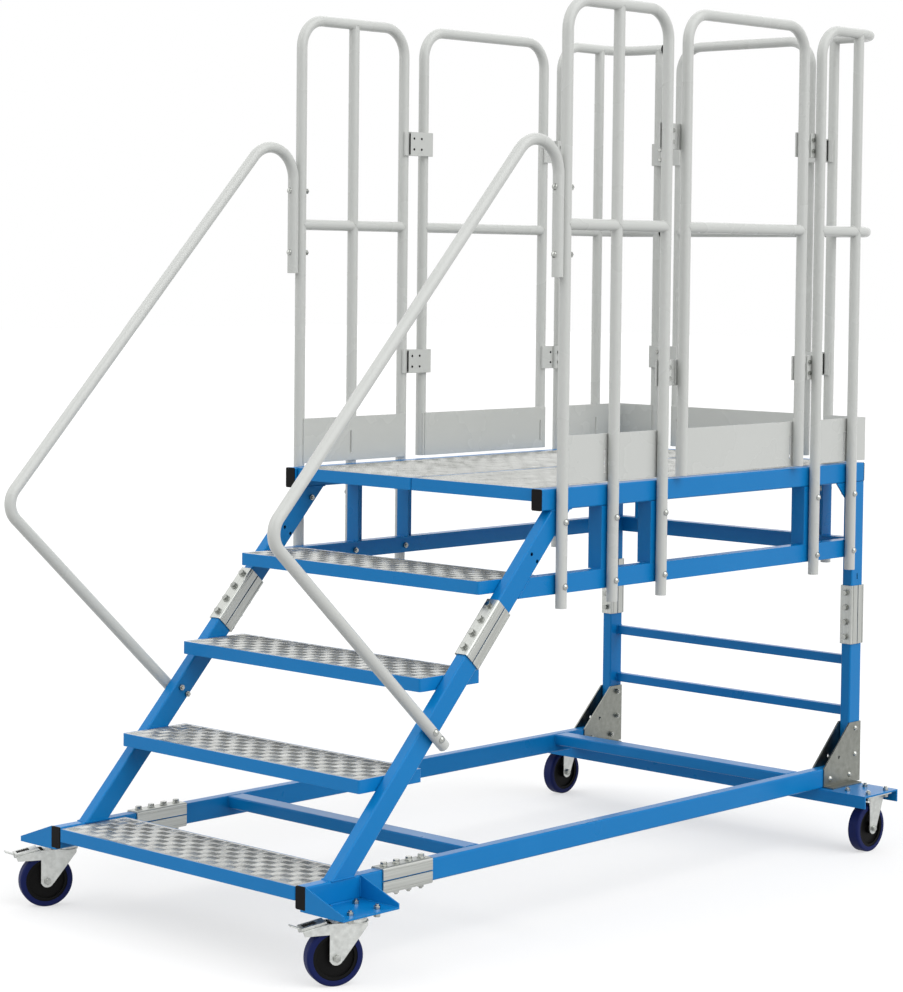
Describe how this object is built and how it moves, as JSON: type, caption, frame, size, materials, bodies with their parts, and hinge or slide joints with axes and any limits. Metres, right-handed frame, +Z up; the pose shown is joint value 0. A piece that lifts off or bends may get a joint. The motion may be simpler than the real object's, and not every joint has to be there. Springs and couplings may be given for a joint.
{
  "type": "podium step",
  "caption": "Mobile podium step: clamp-joined box-tube frame on castors, tread stair with bent tube handrails, and a railed checker-plate deck with inward-opening gates.",
  "frame": {"origin": "on the floor under the middle of the overall box", "axes": "+X to the climber's right, +Y from the stair towards the rear gate, +Z up"},
  "size_m": [1.14, 2.1939, 2.14],
  "materials": {
    "blue_powder_coat": "satin powder coat",
    "grey_powder_coat": "satin powder coat",
    "zinc_steel": "bright zinc plating",
    "checker_aluminium": "rolled five-bar checker plate",
    "clamp_aluminium": "raw extruded",
    "black_plastic": "moulded",
    "navy_rubber": "non-marking tread"
  },
  "bodies": {
    "frame": {"base_stubs": "blue_powder_coat", "castor_trays": "blue_powder_coat", "base_rails": "blue_powder_coat", "cross_bars": "blue_powder_coat", "rear_channel": "blue_powder_coat", "stringers_lower": "blue_powder_coat", "stringers_upper": "blue_powder_coat", "tread_1": "blue_powder_coat", "tread_2": "blue_powder_coat", "tread_3": "blue_powder_coat", "tread_4": "blue_powder_coat", "tread_plates": "checker_aluminium", "deck_rails": "blue_powder_coat", "deck_rear_beam": "blue_powder_coat", "deck_trays": "blue_powder_coat", "deck_plates": "checker_aluminium", "lower_rails": "blue_powder_coat", "lower_rear_rail": "blue_powder_coat", "uprights": "blue_powder_coat", "gussets": "blue_powder_coat", "legs_upper": "blue_powder_coat", "legs_lower": "blue_powder_coat", "leg_bars": "blue_powder_coat", "joint_clamps": "clamp_aluminium", "clamp_bolts": "zinc_steel", "frame_nuts": "zinc_steel", "leg_brackets": "zinc_steel", "dome_bolts": "zinc_steel", "end_caps": "black_plastic", "rail_panel_left": "grey_powder_coat", "rail_panel_right": "grey_powder_coat", "corner_panel_left": "grey_powder_coat", "corner_panel_right": "grey_powder_coat", "toe_boards": "grey_powder_coat", "handrail_left": "grey_powder_coat", "handrail_right": "grey_powder_coat", "gate_plates": "zinc_steel", "plate_bolts": "zinc_steel", "hinge_pins": "zinc_steel", "castor_plates": "zinc_steel", "castor_bolts": "zinc_steel", "rear_forks": "zinc_steel", "rear_axles": "zinc_steel"},
    "left_gate": {"left_gate": "grey_powder_coat"},
    "right_gate": {"right_gate": "grey_powder_coat"},
    "rear_gate": {"rear_gate": "grey_powder_coat"},
    "left_swivel": {"fork_left": "zinc_steel", "axle_left": "zinc_steel"},
    "right_swivel": {"fork_right": "zinc_steel", "axle_right": "zinc_steel"},
    "left_pedal": {"pedal_left": "zinc_steel"},
    "right_pedal": {"pedal_right": "zinc_steel"},
    "front_left_wheel": {"tyre_front_left": "navy_rubber", "hub_front_left": "black_plastic"},
    "front_right_wheel": {"tyre_front_right": "navy_rubber", "hub_front_right": "black_plastic"},
    "rear_left_wheel": {"tyre_rear_left": "navy_rubber", "hub_rear_left": "black_plastic"},
    "rear_right_wheel": {"tyre_rear_right": "navy_rubber", "hub_rear_right": "black_plastic"}
  },
  "joints": [
    {"name": "left_gate_hinge", "type": "hinge", "parent": "frame", "child": "left_gate", "pos_m": [-0.4185, 0.78245, 1.262], "axis": [0, 0, 1], "range_deg": [0, 90]},
    {"name": "right_gate_hinge", "type": "hinge", "parent": "frame", "child": "right_gate", "pos_m": [0.4185, 0.78245, 1.262], "axis": [0, 0, 1], "range_deg": [-90, 0]},
    {"name": "rear_gate_hinge", "type": "hinge", "parent": "frame", "child": "rear_gate", "pos_m": [-0.2585, 1.05845, 1.262], "axis": [0, 0, 1], "range_deg": [-90, 0]},
    {"name": "left_swivel_turn", "type": "hinge", "parent": "frame", "child": "left_swivel", "pos_m": [-0.484, -0.89005, 0.135], "axis": [0, 0, 1], "continuous": true},
    {"name": "front_left_wheel_spin", "type": "hinge", "parent": "left_swivel", "child": "front_left_wheel", "pos_m": [-0.50285, -0.9287, 0.0625], "axis": [0.8988, -0.4384, 0], "continuous": true},
    {"name": "left_pedal_press", "type": "hinge", "parent": "left_swivel", "child": "left_pedal", "pos_m": [-0.5103, -0.94398, 0.13], "axis": [0.8988, -0.4384, 0], "range_deg": [0, 12]},
    {"name": "rear_left_wheel_spin", "type": "hinge", "parent": "frame", "child": "rear_left_wheel", "pos_m": [-0.524, 0.95595, 0.0625], "axis": [1, 0, 0], "continuous": true},
    {"name": "right_swivel_turn", "type": "hinge", "parent": "frame", "child": "right_swivel", "pos_m": [0.484, -0.89005, 0.135], "axis": [0, 0, 1], "continuous": true},
    {"name": "front_right_wheel_spin", "type": "hinge", "parent": "right_swivel", "child": "front_right_wheel", "pos_m": [0.46515, -0.9287, 0.0625], "axis": [0.8988, -0.4384, 0], "continuous": true},
    {"name": "right_pedal_press", "type": "hinge", "parent": "right_swivel", "child": "right_pedal", "pos_m": [0.4577, -0.94398, 0.13], "axis": [0.8988, -0.4384, 0], "range_deg": [0, 12]},
    {"name": "rear_right_wheel_spin", "type": "hinge", "parent": "frame", "child": "rear_right_wheel", "pos_m": [0.524, 0.95595, 0.0625], "axis": [1, 0, 0], "continuous": true}
  ]
}
